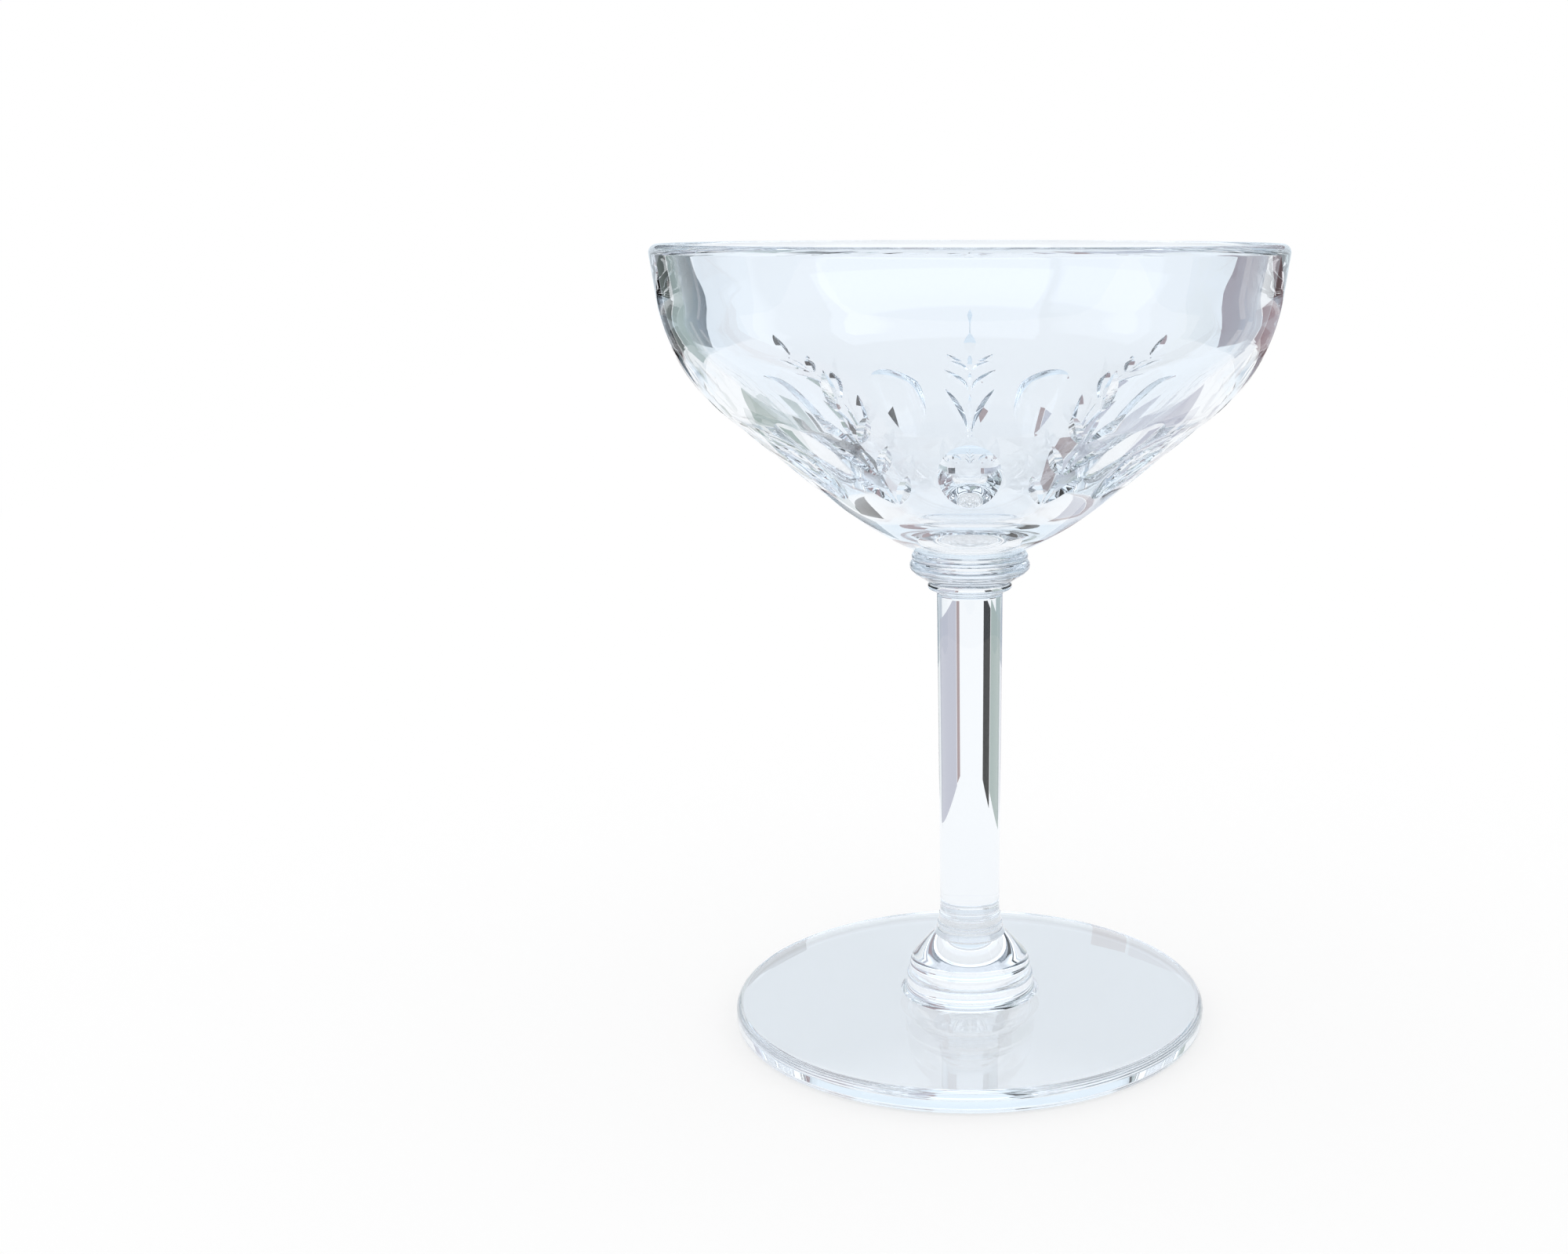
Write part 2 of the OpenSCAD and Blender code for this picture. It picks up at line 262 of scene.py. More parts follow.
# Its outline: along the underside, round the lower and the upper edge, and straight up to the crown
def makeFoot(size):
    _, tall, radius = nodeSize("foot")
    crown = (size["crownRadius"], tall)
    edge = (radius - size["edgeTop"], size["edgeHeight"] - size["edgeTop"])
    path = np.concatenate([
        [(0, 0)],
        arcPoints((radius - size["edgeLow"], size["edgeLow"]), size["edgeLow"], -90, 0),
        arcPoints(edge, size["edgeTop"], 0, touching(edge, size["edgeTop"], crown, 0)),
        [crown]])
    turnedPiece("round_foot", "foot", path, size)


# The wafer: the disc that joins knop to foot, with a hollow curve below and the knop's seat above
wafer = dict(coveRadius=1.6, coveShare=0.9, edgeShare=0.12, diskRadius=9.95, seatRadius=9.1,
             columns=128, soften=0.04)


# Its outline: up the hollow curve, a circle beside the disc, then up the disc and round its edge
def makeWafer(size):
    tall = nodeSize("foot_wafer")[1]
    cove = (size["diskRadius"] + size["coveRadius"], size["coveShare"] * size["coveRadius"])
    coveTurn = math.degrees(math.asin(size["coveShare"]))
    edge = size["edgeShare"] * tall
    path = np.concatenate([
        arcPoints(cove, size["coveRadius"], 180 + coveTurn, 180),
        arcPoints((size["diskRadius"] - edge, tall - edge), edge, 0, 90),
        [(size["seatRadius"], tall)]])
    turnedPiece("wafer_disc", "foot_wafer", path, size)


# The knop: a solid bell, rounded over an upright band
knop = dict(roundRadius=3.2, bandHeight=1.0, edgeShare=0.4, neckRadius=5.6, columns=128, soften=0.06)


# Its outline: round the lower edge, up the band, round the bell and straight to the neck
def makeKnop(size):
    _, tall, radius = nodeSize("base_knop")
    edge = size["edgeShare"] * size["bandHeight"]
    middle = (radius - size["roundRadius"], size["bandHeight"])
    neck = (size["neckRadius"], tall)
    path = np.concatenate([
        arcPoints((radius - edge, edge), edge, -90, 0),
        arcPoints(middle, size["roundRadius"], 0, touching(middle, size["roundRadius"], neck, 0)),
        [neck]])
    turnedPiece("bell_knop", "base_knop", path, size)


# The stem: a slow taper with a flare below, and two fine rings standing on the flare
stem = dict(topRadius=5.0, lowRadius=4.65, flareHeight=4.4, flareStep=0.02, ringShares=(0.38, 0.7),
            ringRise=0.1, ringHalf=0.23, columns=128, soften=0.03)


# Its outline: up the flare, a circle that ends upright at the narrowest place, and straight to the top
def makeStem(size):
    _, tall, radius = nodeSize("stem")
    flare, flareWidth = size["flareHeight"], radius - size["lowRadius"]
    flareRadius = (flare ** 2 + flareWidth ** 2) / (2 * flareWidth)
    flareCentre = (size["lowRadius"] + flareRadius, flare)
    flareTurn = math.degrees(math.asin(flare / flareRadius))
    path = np.concatenate([
        arcPoints(flareCentre, flareRadius, 180 + flareTurn, 180, step=size["flareStep"]),
        [(size["topRadius"], tall)]])
    # each ring swells the outline by its rise times one less the square of the way from its middle
    for share in size["ringShares"]:
        away = (path[:, 1] - share * flare) / size["ringHalf"]
        path[:, 0] += size["ringRise"] * np.clip(1 - away ** 2, 0, None)
    turnedPiece("drawn_stem", "stem", path, size)


# The collar: a hollow curve up from the stem, a small bead, and a cone out to the merese
collar = dict(stemRadius=5.0, coveShare=0.3, coveTurn=65, beadRadius=6.4, beadShare=0.15,
              beadLevel=0.43, beadFrom=-116, beadTo=62, columns=128, soften=0.04)


# Its outline: part of a circle beside the stem, most of the bead's circle, and a straight line
def makeCollar(size):
    _, tall, radius = nodeSize("collar")
    cove, bead = size["coveShare"] * tall, size["beadShare"] * tall
    beadCentre = (size["beadRadius"] - bead, size["beadLevel"] * tall)
    path = np.concatenate([
        arcPoints((size["stemRadius"] + cove, 0), cove, 180, 180 - size["coveTurn"]),
        arcPoints(beadCentre, bead, size["beadFrom"], size["beadTo"]),
        [(radius, tall)]])
    turnedPiece("beaded_collar", "collar", path, size)


# The merese: a wafer pressed into two rounded rings, the upper one a little smaller
merese = dict(ringShares=(0.3, 0.2), ringLevels=(0.33, 0.75), ringStep=0.3, ringFrom=-72,
              lowRadius=8.5, seatRadius=7.9, columns=128, soften=0.03)


# Its outline: round the lower ring's circle to where it meets the upper one's, and round that to the
# bowl's seat. The circles meet on the line that has the same power to both.
def makeMerese(size):
    _, tall, radius = nodeSize("merese")
    wide, slim = (share * tall for share in size["ringShares"])
    lower = np.array([radius - wide, size["ringLevels"][0] * tall])
    upper = np.array([radius - size["ringStep"] - slim, size["ringLevels"][1] * tall])
    seat = np.array([size["seatRadius"], tall])
    way = upper - lower
    apart = np.hypot(*way)
    share = (apart ** 2 + wide ** 2 - slim ** 2) / (2 * apart)
    rise = math.degrees(math.atan2(way[1], way[0]))
    lowTurn = math.degrees(math.acos(share / wide))
    highTurn = math.degrees(math.acos((apart - share) / slim))
    top = math.degrees(math.atan2(*(seat - upper)[::-1]))
    path = np.concatenate([
        [(size["lowRadius"], 0)],
        arcPoints(lower, wide, size["ringFrom"], rise - lowTurn),
        arcPoints(upper, slim, rise - 180 + highTurn, top),
        [seat]])
    turnedPiece("ringed_merese", "merese", path, size)


for makePiece, size in ((makeFoot, foot), (makeWafer, wafer), (makeKnop, knop), (makeStem, stem),
                        (makeCollar, collar), (makeMerese, merese)):
    makePiece(size)

# The bowl: circles for heel, shoulder and lip outside, for the floor and two curves inside, and the
# lines that touch them
bowl = dict(seatRadius=7.9, rimWall=2.5, wallLength=6.6, wallLean=8, shoulderRadius=26.0,
            heelRadius=60.0, heelSlope=25, floorThick=4.9, floorRadius=26.5, innerLow=30.0,
            innerHigh=17.5, joinLean=32, joinWall=3.2, joinTaper=3.5, columns=168, finer=4,
            soften=0.02)

# The cuts round it: an oval and a spray of leaves by turns, as sizes of the wheels' marks
cuts = dict(count=7, start=2.3, ovalLength=15.8, ovalWidth=8.9, ovalDepth=1.2, stalkWidth=0.7,
            leastSink=0.4, leafPairs=3, leafPitch=7.3, leafLength=9.0, leafWidth=2.0, leafDepth=0.55,
            leafLean=26, leafRoot=0.4, budLength=7.1, budWidth=2.2)

bowlLow, bowlTall, rimRadius = nodeSize("bowl")
lipRadius = bowl["rimWall"] / 2
lipCentre = np.array([rimRadius - lipRadius, bowlTall - lipRadius])
shoulderCentre = (lipCentre - bowl["wallLength"] * heading(90 - bowl["wallLean"])
                  - (bowl["shoulderRadius"] - lipRadius) * heading(-bowl["wallLean"]))
heelCentre = np.array([bowl["seatRadius"], 0]) - bowl["heelRadius"] * heading(bowl["heelSlope"] - 90)
floorCentre = np.array([0, bowl["floorThick"] + bowl["floorRadius"]])
joinNormal = -bowl["joinLean"] - bowl["joinTaper"]
joinRadius = bowl["shoulderRadius"] - bowl["joinWall"]
joinSpot = shoulderCentre + joinRadius * heading(-bowl["joinLean"])
innerLowCentre = joinSpot - bowl["innerLow"] * heading(joinNormal)
innerHighCentre = joinSpot - bowl["innerHigh"] * heading(joinNormal)
coneNormal = touching(heelCentre, bowl["heelRadius"], shoulderCentre, bowl["shoulderRadius"])
innerCone = touching(floorCentre, bowl["floorRadius"], innerLowCentre, bowl["innerLow"])
innerWall = touching(innerHighCentre, bowl["innerHigh"], lipCentre, -lipRadius)
coneLow = heelCentre + bowl["heelRadius"] * heading(coneNormal)
coneHigh = shoulderCentre + bowl["shoulderRadius"] * heading(coneNormal)
coneLength = np.hypot(*(coneHigh - coneLow))


# The outside at a distance up from the heel's top: straight up the cone, then round the shoulder.
# Gives the radius, the height and the angle of the normal.
def outside(up):
    straight = np.minimum(up, coneLength)
    angle = math.radians(coneNormal) + np.maximum(up - coneLength, 0) / bowl["shoulderRadius"]
    along = heading(coneNormal + 90)
    start = heading(coneNormal)
    r = coneLow[0] + straight * along[0] + bowl["shoulderRadius"] * (np.cos(angle) - start[0])
    z = coneLow[1] + straight * along[1] + bowl["shoulderRadius"] * (np.sin(angle) - start[1])
    return r, z, angle


# Point, up direction, side direction and normal of the outside at a distance up and a turn aside
def outsideFrame(up, aside):
    r, z, angle = outside(up)
    c, s, level = np.cos(aside), np.sin(aside), np.zeros_like(r * aside)
    point = np.stack([r * c, r * s, z + level], -1)
    upward = np.stack([-np.sin(angle) * c, -np.sin(angle) * s, np.cos(angle) + level], -1)
    sideways = np.stack([-s + level, c + level, level], -1)
    normal = np.stack([np.cos(angle) * c, np.cos(angle) * s, np.sin(angle) + level], -1)
    return point, upward, sideways, normal


# Radius of the wheel that leaves a mark of a length and depth on a surface of a given bend: one over
# eight depths over the length squared, less the bend
def wheelRadius(length, depth, bend=0.0):
    return 1 / (8 * depth / length ** 2 - bend)


# How far a wheel is followed, as shares of its radius and of its rounded edge, the depth that stands
# for no cut, and the least square under a root
wheelReach = dict(lengthShare=0.8, edgeShare=0.9, noCut=-9.0, leastSquare=1e-4)


# One wheel held against the outside. At x along its mark and y across it, the edge of the wheel
# reaches down to  radius - depth - sqrt(g^2 - x^2).  For a pointed wheel g is radius - slope |y|, and
# for a rounded one it is radius - edge + sqrt(edge^2 - y^2). The depth of the cut is the surface's
# height above that.
class Wheel:
    def __init__(self, spot, along, normal, radius, depth, slope=0.0, edge=None):
        self.spot, self.along, self.normal = spot, along, normal
        self.across = np.cross(normal, along)
        self.radius, self.depth, self.slope, self.edge = radius, depth, slope, edge

    # The place of points along, across and above the mark, g with its slope across, and the root
    def reach(self, points):
        away = points - self.spot
        x, y, z = away @ self.along, away @ self.across, away @ self.normal
        least = wheelReach["leastSquare"]
        if self.edge:
            m = np.sqrt(np.maximum(self.edge ** 2 - y ** 2, least))
            g, gSlope = self.radius - self.edge + m, -y / m
        else:
            g, gSlope = self.radius - self.slope * np.abs(y), -self.slope
        s = np.sqrt(np.maximum(g ** 2 - x ** 2, least))
        return x, y, z, g, gSlope, s

    # The depth of the cut, and the place across the mark
    def cut(self, points):
        x, y, z, _, _, s = self.reach(points)
        inside = np.abs(x) < wheelReach["lengthShare"] * self.radius
        if self.edge:
            inside &= np.abs(y) < wheelReach["edgeShare"] * self.edge
        return np.where(inside, z - (self.radius - self.depth - s), wheelReach["noCut"]), y

    def lower(self, points, depth):
        return points - depth[..., None] * self.normal

    # The normal of the cut: minus the slopes along and across the mark, and one up
    def facing(self, points, side):
        x, _, _, g, gSlope, s = self.reach(points)
        dy = g * gSlope / s * (1 if self.edge else side)
        n = -(x / s)[..., None] * self.along + dy[..., None] * self.across + self.normal
        return n / np.linalg.norm(n, axis=-1, keepdims=True)


# Spot, direction along the mark and normal of a wheel at a distance up, a turn aside and a lean
def wheelPlace(up, aside, lean=0.0):
    place = outsideFrame(np.array([up]), np.array([aside]))
    spot, upward, sideways, normal = (v.reshape(3) for v in place)
    return spot, math.cos(lean) * upward + math.sin(lean) * sideways, normal


# A slender cut of a stalk: it is set on the straight line between its ends, and sunk less below that
# line where the shoulder bulges over it
def stalkCut(low, slope):
    r, z, _ = outside(low + cuts["leafPitch"] * np.array([0, 0.5, 1]))
    spots = np.stack([r, np.zeros(3), z], 1)
    run, middle = spots[2] - spots[0], (spots[0] + spots[2]) / 2
    length = np.linalg.norm(run)
    along = run / length
    normal = np.cross(along, (0, -1.0, 0))
    depth = slope * cuts["stalkWidth"] / 2
    sink = max(depth - (spots[1] - middle) @ normal, cuts["leastSink"] * depth)
    return Wheel(middle, along, normal, wheelRadius(length, sink), sink, slope)


# Every mark in one step of the pattern: half an oval at each side, and the spray between them
def makeMarks():
    half, start = math.pi / cuts["count"], cuts["start"]
    deep, lean, leaf = cuts["leafDepth"], math.radians(cuts["leafLean"]), cuts["leafLength"]
    slope, leafWheel = 2 * deep / cuts["leafWidth"], wheelRadius(leaf, deep)
    ovalUp, ovalDepth = start + cuts["ovalLength"] / 2, cuts["ovalDepth"]
    ovalFrom, _, ovalAngle = outside(np.array(ovalUp))
    ovalEdge = wheelRadius(cuts["ovalWidth"], ovalDepth, math.cos(ovalAngle) / float(ovalFrom))
    ovalWheel = wheelRadius(cuts["ovalLength"], ovalDepth)
    marks = [Wheel(*wheelPlace(ovalUp, side * half), ovalWheel, ovalDepth, edge=ovalEdge)
             for side in (-1, 1)]
    for pair in range(cuts["leafPairs"]):
        low = start + pair * cuts["leafPitch"]
        up = low + leaf / 2 * math.cos(lean)
        aside = (cuts["leafRoot"] + leaf / 2 * math.sin(lean)) / float(outside(np.array(up))[0])
        marks += [Wheel(*wheelPlace(up, side * aside, side * lean), leafWheel, deep, slope)
                  for side in (-1, 1)]
        marks.append(stalkCut(low, slope))
    budUp = start + cuts["leafPairs"] * cuts["leafPitch"] + cuts["budLength"] / 2
    budWheel = wheelRadius(cuts["budLength"], deep, 1 / bowl["shoulderRadius"])
    marks.append(Wheel(*wheelPlace(budUp, 0), budWheel, deep, 2 * deep / cuts["budWidth"]))
    return marks


# The band of the bowl that holds the cuts: its lower and upper edge as distances up, the size of a
# cell and the gap to the plain rings. Grid places are probed and pulled by shares of a cell, a groove
# has a floor line from its least depth on, and a face lies in a mark from its own least depth on.
band = dict(low=1.5, high=32.3, cell=0.28, gap=0.6, probe=0.02, pull=0.47, leastSlope=1e-12,
            leastGroove=0.02, leastFace=0.0005, creaseWeight=9.0)

bandStep = 2 * math.pi / cuts["count"]
bandColumns = bowl["columns"] * bowl["finer"] // cuts["count"]
bandRows = int(round((band["high"] - band["low"]) / band["cell"])) + 1
upCell, asideCell = (band["high"] - band["low"]) / (bandRows - 1), bandStep / bandColumns


# Distance up and turn aside of grid places, over one step of the pattern
def bandPlace(i, j):
    return band["low"] + i * upCell, -bandStep / 2 + j * asideCell


# How deep each mark cuts at points of the outside, and where they lie across each mark
def cutDepths(marks, points):
    depths, places = zip(*(mark.cut(points) for mark in marks))
    return np.stack(depths), np.stack(places)


# The same at grid places
def bandDepths(marks, i, j):
    return cutDepths(marks, outsideFrame(*bandPlace(i, j))[0])


# One pull of grid places to where a value is nought: minus the value times its slope over the slope
# squared, in cells, for those that are near
def pullPlaces(value, i, j, near):
    h = band["probe"]
    di = (value(i + h, j) - value(i - h, j)) / (2 * h)
    dj = (value(i, j + h) - value(i, j - h)) / (2 * h)
    scale = -value(i, j) / np.maximum(di ** 2 + dj ** 2, band["leastSlope"])
    mi, mj = scale * di, scale * dj
    take = near & (np.hypot(mi, mj) < band["pull"])
    return np.where(take, mi, 0), np.where(take, mj, 0), take


# The grid's places, of which those close to a mark's rim or to the floor line of a groove are drawn
# onto it, so that the edges stay crisp. Gives the places and whether each lies on such a line.
def drawPlaces(marks):
    i, j = np.meshgrid(np.arange(bandRows, dtype=float), np.arange(bandColumns + 1, dtype=float),
                       indexing="ij")
    depth = bandDepths(marks, i, j)[0]
    deepest, deep = depth.argmax(0), depth.max(0)

    def rim(a, b):
        return bandDepths(marks, a, b)[0].max(0)

    def floorLine(a, b):
        return np.take_along_axis(bandDepths(marks, a, b)[1], deepest[None], 0)[0]

    inner = (i > 0) & (i < bandRows - 1)
    rimI, rimJ, onRim = pullPlaces(rim, i, j, inner)
    againI, againJ, _ = pullPlaces(rim, i + rimI, j + rimJ, onRim)
    pointed = np.array([mark.edge is None for mark in marks])
    groove = inner & ~onRim & (deep > band["leastGroove"]) & pointed[deepest]
    lineI, lineJ, onLine = pullPlaces(floorLine, i, j, groove)
    return i + rimI + againI + lineI, j + rimJ + againJ + lineJ, onRim | onLine


# Two triangles for each cell, split along the diagonal that lies on a rim or a floor line, or else
# along the shorter one
def splitCells(points, crease):
    low, high = slice(None, -1), slice(1, None)
    a, b, c, d = (low, low), (low, high), (high, high), (high, low)
    firstLong, secondLong = (np.linalg.norm(points[p] - points[q], axis=-1)
                             for p, q in ((a, c), (b, d)))
    lines = (crease[b] & crease[d]).astype(float) - (crease[a] & crease[c])
    flip = (firstLong - secondLong + band["creaseWeight"] * lines > 0).ravel()[:, None]
    number = np.arange(bandRows * (bandColumns + 1)).reshape(bandRows, bandColumns + 1)
    a, b, c, d = (number[corner].ravel() for corner in (a, b, c, d))
    return np.concatenate([np.where(flip, np.stack([a, b, d], 1), np.stack([a, b, c], 1)),
                           np.where(flip, np.stack([b, c, d], 1), np.stack([a, c, d], 1))])


# Corner normals of the band: a face takes those of the mark that its middle lies in, or else the
# bowl's own
def bandNormals(marks, faces, up, aside, whole):
    middles = outsideFrame(up.ravel()[faces].mean(1), aside.ravel()[faces].mean(1))[0]
    depth, across = cutDepths(marks, middles)
    faceMark = np.where(depth.max(0) > band["leastFace"], depth.argmax(0), -1)
    points, normals = whole[0].reshape(-1, 3), whole[3].reshape(-1, 3)[faces]
    for number, mark in enumerate(marks):
        for side in (-1, 1):
            here = (faceMark == number) & (np.where(across[number] < 0, -1, 1) == side)
            normals[here] = mark.facing(points, side)[faces[here]]
    return normals


# One step of the cut band: each place on the outside is lowered by the deepest cut over it, along
# that wheel's normal
def makeBand(marks):
    i, j, crease = drawPlaces(marks)
    up, aside = bandPlace(i, j)
    whole = outsideFrame(up, aside)
    depth = cutDepths(marks, whole[0])[0]
    which, deep = depth.argmax(0), depth.max(0)
    points = whole[0].copy()
    for number, mark in enumerate(marks):
        here = (which == number) & (deep > 0)
        points = np.where(here[..., None], mark.lower(whole[0], deep), points)
    faces = splitCells(points, crease)
    return points, faces, bandNormals(marks, faces, up, aside, whole)


# Stitches a plain ring to the finer ring of the band: five triangles for each wide step. The band
# starts at the front, a quarter turn before the plain rings do.
def stitch(wide, fine, columns, finer, fineAbove):
    j = np.arange(columns)
    k = (j + 1) % columns
    around = columns * finer
    half = finer // 2
    steps = [fine + (j * finer + n + around // 4) % around for n in range(finer + 1)]
    faces = [np.stack([wide + j, steps[n + 1], steps[n]], 1) for n in range(half)]
    faces += [np.stack([wide + j, wide + k, steps[half]], 1)]
    faces += [np.stack([wide + k, steps[n + 1], steps[n]], 1) for n in range(half, finer)]
    faces = np.concatenate(faces)
    return faces if fineAbove else faces[:, ::-1]


# Vectors turned about the upright axis
def turnVectors(vectors, angle):
    c, s = math.cos(angle), math.sin(angle)
    return vectors @ np.array([[c, s, 0], [-s, c, 0], [0, 0, 1]])


# The outline below the band, and the one above it: round the shoulder, over the lip and down inside
# to the axis
def bowlOutlines():
    lowR, lowZ, _ = outside(np.array(band["low"] - band["gap"]))
    below = np.concatenate([
        arcPoints(heelCentre, bowl["heelRadius"], bowl["heelSlope"] - 90, coneNormal),
        [(lowR, lowZ)]])
    bandTurn = math.degrees((band["high"] + band["gap"] - coneLength) / bowl["shoulderRadius"])
    wallNormal = -bowl["wallLean"]
    above = np.concatenate([
        arcPoints(shoulderCentre, bowl["shoulderRadius"], coneNormal + bandTurn, wallNormal),
        arcPoints(lipCentre, lipRadius, wallNormal, innerWall + 180),
        arcPoints(innerHighCentre, bowl["innerHigh"], innerWall, joinNormal),
        arcPoints(innerLowCentre, bowl["innerLow"], joinNormal, innerCone),
        arcPoints(floorCentre, bowl["floorRadius"], innerCone, -90)])
    return firePolish(below, bowl["soften"]), firePolish(above, bowl["soften"])


# Its mesh: plain rings below and above the band, an end on the axis for each, the band between them,
# and a seam at each edge of the band
def makeBowl():
    columns, finer = bowl["columns"], bowl["finer"]
    around = columns * finer
    piece = Piece()
    (below, belowAngles), (above, aboveAngles) = bowlOutlines()
    above, aboveAngles = above[:-1], aboveAngles[:-1]
    firstBelow = piece.addRings(below, belowAngles, columns, bowlLow)
    firstAbove = piece.addRings(above, aboveAngles, columns, bowlLow)
    lastBelow = firstBelow + (len(below) - 1) * columns
    lastAbove = firstAbove + (len(above) - 1) * columns
    piece.addFan(bowlLow, firstBelow, columns, False, 1)
    inner = turnedNormals(aboveAngles[-1:], columns)[0]
    piece.addFan(bowlLow + bowl["floorThick"], lastAbove, columns, True, 0, inner)
    # the band's step is repeated round the axis, from an oval that faces the front
    points, faces, normals = makeBand(makeMarks())
    points[..., 2] += bowlLow
    turns = -math.pi / 2 + bandStep / 2 + np.arange(cuts["count"]) * bandStep
    ring = np.concatenate([turnVectors(points[:, :-1], turn) for turn in turns], 1)
    firstBand = piece.addPoints(ring)
    i, j = faces // (bandColumns + 1), faces % (bandColumns + 1)
    for number, turn in enumerate(turns):
        ringFaces = firstBand + i * around + (j + number * bandColumns) % around
        piece.addFaces(ringFaces, turnVectors(normals, turn))
    # the seams to the plain rings below and above take the bowl's own normals
    t = np.arange(around) * 2 * math.pi / around - math.pi / 2
    lastRow = firstBand + (bandRows - 1) * around
    for wide, fine, up, fineAbove in ((lastBelow, firstBand, band["low"], True),
                                      (firstAbove, lastRow, band["high"], False)):
        seam = stitch(wide, fine, columns, finer, fineAbove)
        plain = turnedNormals(outside(np.array([up]))[2], columns)[0]
        cut = outsideFrame(np.full(around, up), t)[3]
        isFine = (seam >= fine) & (seam < fine + around)
        seamNormals = np.where(isFine[..., None], cut[np.where(isFine, seam - fine, 0)],
                               plain[np.where(isFine, 0, seam - wide)])
        piece.addFaces(seam, seamNormals)
    piece.make("cut_bowl", "bowl")


makeBowl()

# The stage: a pale floor that keeps a soft shadow, and a room that the glass mirrors and bends. The
# floor is in metres and its drop in millimetres. The room's own shade reaches to an angle at each side
# of the front, in radians, and pale walls stand behind. The walls end and the ceiling begins at
# heights on a ball of radius one.
stage = dict(floorSide=0.42, floorFront=0.3, floorBack=4.0, floorDrop=0.05, floorShade=0.36,
             floorGlow=0.66, wallShade=(0.84, 0.93, 1.0), roomShade=(0.48, 0.58, 0.68),
             roomSide=2.4, roomSoft=0.1, ceilingShade=(0.15, 0.18, 0.22), wallTop=0.42,
             ceilingFrom=0.8, paneShade=(0.95, 0.97, 1), paneSoft=(0.01, 0.02), fill=0.95)

# Windows in that room, as angles from the front: middle, half width, lower and upper edge, and
# brightness
windows = (dict(middle=17.5, half=53.5, low=12, high=50, glow=1.3),
           dict(middle=-66.5, half=25.5, low=8, high=42, glow=0.9),
           dict(middle=118, half=12, low=5, high=40, glow=0.6),
           dict(middle=180, half=23, low=28, high=70, glow=0.6))

# Cards that stand round the glass and give it its lines, as angles from the front: two edges, the
# distance of each edge, lower and upper edge in millimetres, and shade. A near row gives the stem its
# stripes, a far row the bowl's sides, and a high row the rings of the merese.
farRow = (260, 260)
greenCard, sideCard = (0.4, 0.48, 0.47), (0.4, 0.47, 0.53)
cards = (dict(edges=(-163, -152), away=(135, 112), low=0, high=44, shade=(0.002, 0.002, 0.002)),
         dict(edges=(-151, -120), away=(125, 95), low=0, high=44, shade=(0.4, 0.47, 0.44)),
         dict(edges=(163.5, 167.5), away=(132, 138), low=0, high=44, shade=(0.4, 0.3, 0.3)),
         dict(edges=(122, 163), away=(100, 130), low=0, high=44, shade=(0.55, 0.55, 0.62)),
         dict(edges=(-153.5, -139), away=farRow, low=45, high=98, shade=(0.012, 0.01, 0.01)),
         dict(edges=(-138, -116), away=farRow, low=0, high=98, shade=greenCard),
         dict(edges=(-114, -84), away=farRow, low=0, high=150, shade=sideCard),
         dict(edges=(133, 156.5), away=farRow, low=50, high=98, shade=(0.34, 0.25, 0.27)),
         dict(edges=(118, 132), away=farRow, low=0, high=98, shade=(0.6, 0.63, 0.68)),
         dict(edges=(84, 114), away=farRow, low=0, high=150, shade=sideCard),
         dict(edges=(-158, -144), away=farRow, low=160, high=420, shade=(0.01, 0.01, 0.01)),
         dict(edges=(-143, -120), away=farRow, low=160, high=300, shade=greenCard),
         dict(edges=(136, 158), away=farRow, low=160, high=420, shade=(0.36, 0.28, 0.3)))

# A Mix node's sockets for colours, by number, because its other sockets have the same names
mixSockets = dict(share=0, first=6, second=7, result=2)


# A math node between two values, each a socket or a number
def reckon(tree, operation, a, b=0.0):
    made = tree.nodes.new("ShaderNodeMath")
    made.operation = operation
    for socket, value in zip(made.inputs, (a, b)):
        if isinstance(value, (int, float)):
            socket.default_value = value
        else:
            tree.links.new(value, socket)
    return made.outputs[0]


# Nought up to one value and one from another on, with a smooth step between them
def smoothStep(tree, value, start, end):
    step = addNode(tree, "ShaderNodeMapRange", **{"From Min": start, "From Max": end})
    step.interpolation_type = "SMOOTHSTEP"
    tree.links.new(value, step.inputs["Value"])
    return step.outputs["Result"]


# One between two edges and nothing outside them, with a soft step at each
def between(tree, value, low, high, soft):
    middle, half = (low + high) / 2, (high - low) / 2
    away = reckon(tree, "ABSOLUTE", reckon(tree, "SUBTRACT", value, middle))
    return smoothStep(tree, away, half + soft, half - soft)


# A mix of two colours, each a socket or a shade, by the share of the second
def mixColours(tree, share, first, second):
    made = tree.nodes.new("ShaderNodeMix")
    made.data_type = "RGBA"
    tree.links.new(share, made.inputs[mixSockets["share"]])
    for name, colour in (("first", first), ("second", second)):
        socket = made.inputs[mixSockets[name]]
        if isinstance(colour, tuple):
            socket.default_value = colour + (1,)
        else:
            tree.links.new(colour, socket)
    return made.outputs[mixSockets["result"]]


# Rays that mirrors or glass send on
def sentRays(tree, light):
    glossy, through = light.outputs["Is Glossy Ray"], light.outputs["Is Transmission Ray"]
    return reckon(tree, "MAXIMUM", glossy, through)


# A flat stage object from its corners, with a material
def stagePlate(name, corners, material):
    mesh = bpy.data.meshes.new(name)
    mesh.from_pydata(corners, [], [(0, 1, 2, 3)])
    mesh.materials.append(material)
    plate = bpy.data.objects.new(name, mesh)
    scene.collection.objects.link(plate)
    return plate


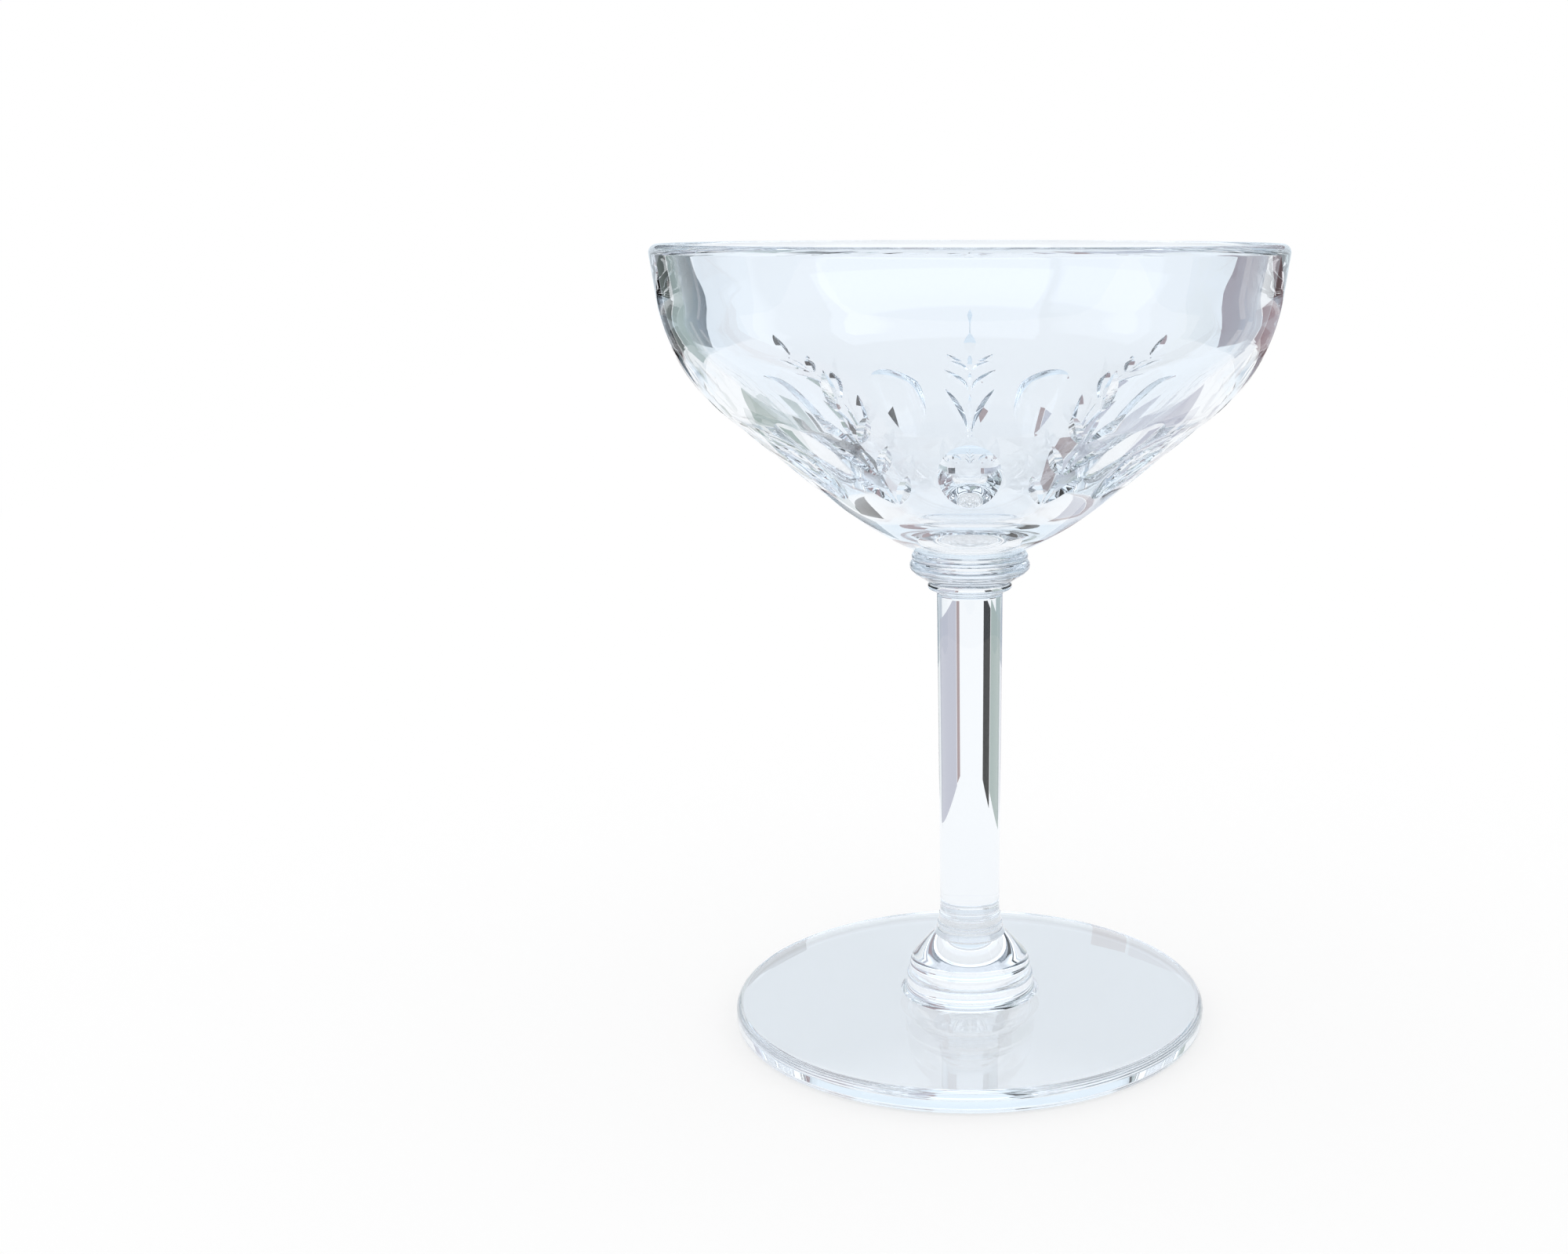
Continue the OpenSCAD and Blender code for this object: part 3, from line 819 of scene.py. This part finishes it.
# Matt white paper that keeps the shadow, with a glow for the rays that see the backdrop: those from
# the camera, and those that mirrors or glass send on
def makeFloor(look):
    paper = bpy.data.materials.new("white_floor")
    paper.use_nodes = True
    tree = paper.node_tree
    tree.nodes.clear()
    light = tree.nodes.new("ShaderNodeLightPath")
    seen = reckon(tree, "MAXIMUM", light.outputs["Is Camera Ray"], sentRays(tree, light))
    matt = addNode(tree, "ShaderNodeBsdfDiffuse", Color=(look["floorShade"],) * 3 + (1,))
    glow = tree.nodes.new("ShaderNodeEmission")
    both = tree.nodes.new("ShaderNodeAddShader")
    out = tree.nodes.new("ShaderNodeOutputMaterial")
    tree.links.new(reckon(tree, "MULTIPLY", seen, look["floorGlow"]), glow.inputs["Strength"])
    tree.links.new(matt.outputs[0], both.inputs[0])
    tree.links.new(glow.outputs[0], both.inputs[1])
    tree.links.new(both.outputs[0], out.inputs["Surface"])
    side, front, back = look["floorSide"], -look["floorFront"], look["floorBack"]
    low = -look["floorDrop"] * mm
    corners = [(-side, front, low), (side, front, low), (side, back, low), (-side, back, low)]
    stagePlate("floor", corners, paper)


# Upright cards of an even shade, which only mirrors and glass see
def makeCards(looks):
    for number, look in enumerate(looks):
        name = "card_%d" % number
        paint = bpy.data.materials.new(name)
        paint.use_nodes = True
        tree = paint.node_tree
        tree.nodes.clear()
        glow = addNode(tree, "ShaderNodeEmission", Color=look["shade"] + (1,))
        out = tree.nodes.new("ShaderNodeOutputMaterial")
        tree.links.new(glow.outputs[0], out.inputs["Surface"])
        turn = np.radians(look["edges"])
        away = np.array(look["away"]) * mm
        x, y = away * np.sin(turn), -away * np.cos(turn)
        low, high = look["low"] * mm, look["high"] * mm
        corners = [(x[0], y[0], low), (x[1], y[1], low), (x[1], y[1], high), (x[0], y[0], high)]
        card = stagePlate(name, corners, paint)
        card.visible_camera = False
        card.visible_diffuse = False
        card.visible_shadow = False


# The brightness of the windows in a direction: each has its own where the cosine of the way round
# from its middle, and the height, lie within its edges
def windowGlow(tree, around, z, openings, soft):
    beyond = 2.0  # more than any cosine
    glow = 0.0
    for pane in openings:
        turn = reckon(tree, "COSINE", reckon(tree, "SUBTRACT", around, math.radians(pane["middle"])))
        across = between(tree, turn, math.cos(math.radians(pane["half"])), beyond, soft[0])
        low, high = (math.sin(math.radians(pane[edge])) for edge in ("low", "high"))
        within = reckon(tree, "MULTIPLY", across, between(tree, z, low, high, soft[1]))
        glow = reckon(tree, "ADD", glow, reckon(tree, "MULTIPLY", within, pane["glow"]))
    return glow


# The room as glass and mirrors see it: pale walls behind, greyer ones in front, a dim ceiling and
# bright windows. The camera sees plain white, and matt surfaces are lit evenly.
def makeWorld(look, openings):
    world = bpy.data.worlds.new("white_room")
    scene.world = world
    world.use_nodes = True
    tree = world.node_tree
    tree.nodes.clear()
    light = tree.nodes.new("ShaderNodeLightPath")
    place = tree.nodes.new("ShaderNodeTexCoord")
    split = tree.nodes.new("ShaderNodeSeparateXYZ")
    tree.links.new(place.outputs["Generated"], split.inputs[0])
    x, y, z = split.outputs
    around = reckon(tree, "ARCTAN2", x, reckon(tree, "MULTIPLY", y, -1.0))
    inFront = between(tree, around, -look["roomSide"], look["roomSide"], look["roomSoft"])
    overhead = smoothStep(tree, z, look["wallTop"], look["ceilingFrom"])
    walls = mixColours(tree, inFront, look["wallShade"], look["roomShade"])
    roomLight = tree.nodes.new("ShaderNodeBackground")
    tree.links.new(mixColours(tree, overhead, walls, look["ceilingShade"]), roomLight.inputs["Color"])
    paneLight = addNode(tree, "ShaderNodeBackground", Color=look["paneShade"] + (1,))
    glow = windowGlow(tree, around, z, openings, look["paneSoft"])
    tree.links.new(glow, paneLight.inputs["Strength"])
    seenRoom = tree.nodes.new("ShaderNodeAddShader")
    tree.links.new(roomLight.outputs[0], seenRoom.inputs[0])
    tree.links.new(paneLight.outputs[0], seenRoom.inputs[1])
    plain = addNode(tree, "ShaderNodeBackground", Color=(1, 1, 1, 1))
    level = reckon(tree, "MAXIMUM", light.outputs["Is Camera Ray"], look["fill"])
    tree.links.new(level, plain.inputs["Strength"])
    pick = tree.nodes.new("ShaderNodeMixShader")
    tree.links.new(sentRays(tree, light), pick.inputs["Fac"])
    tree.links.new(plain.outputs[0], pick.inputs[1])
    tree.links.new(seenRoom.outputs[0], pick.inputs[2])
    out = tree.nodes.new("ShaderNodeOutputWorld")
    tree.links.new(pick.outputs[0], out.inputs["Surface"])


makeFloor(stage)
makeCards(cards)
makeWorld(stage, windows)
print("stage set")

# The camera of the photograph, in front of the glass and a little above its rim: in metres and
# degrees, with the lens and the sensor in millimetres and the shift as a share of the sensor
view = dict(away=0.2839, height=0.1233, pitch=12.08, lens=43.67, sensor=36.0, shiftX=-0.1185,
            near=0.01)


def makeCamera(look):
    data = bpy.data.cameras.new("viewer")
    data.lens = look["lens"]
    data.sensor_width = look["sensor"]
    data.sensor_fit = "HORIZONTAL"
    data.shift_x = look["shiftX"]
    data.clip_start = look["near"]
    camera = bpy.data.objects.new("viewer", data)
    camera.location = (0, -look["away"], look["height"])
    camera.rotation_euler = (math.radians(90 - look["pitch"]), 0, 0)
    scene.collection.objects.link(camera)
    scene.camera = camera


makeCamera(view)
scene.view_settings.view_transform = "Standard"
# clear glass passes light through many faces
scene.cycles.max_bounces = 64
scene.cycles.transmission_bounces = 64
scene.cycles.glossy_bounces = 28
scene.cycles.transparent_max_bounces = 32
print("camera placed")
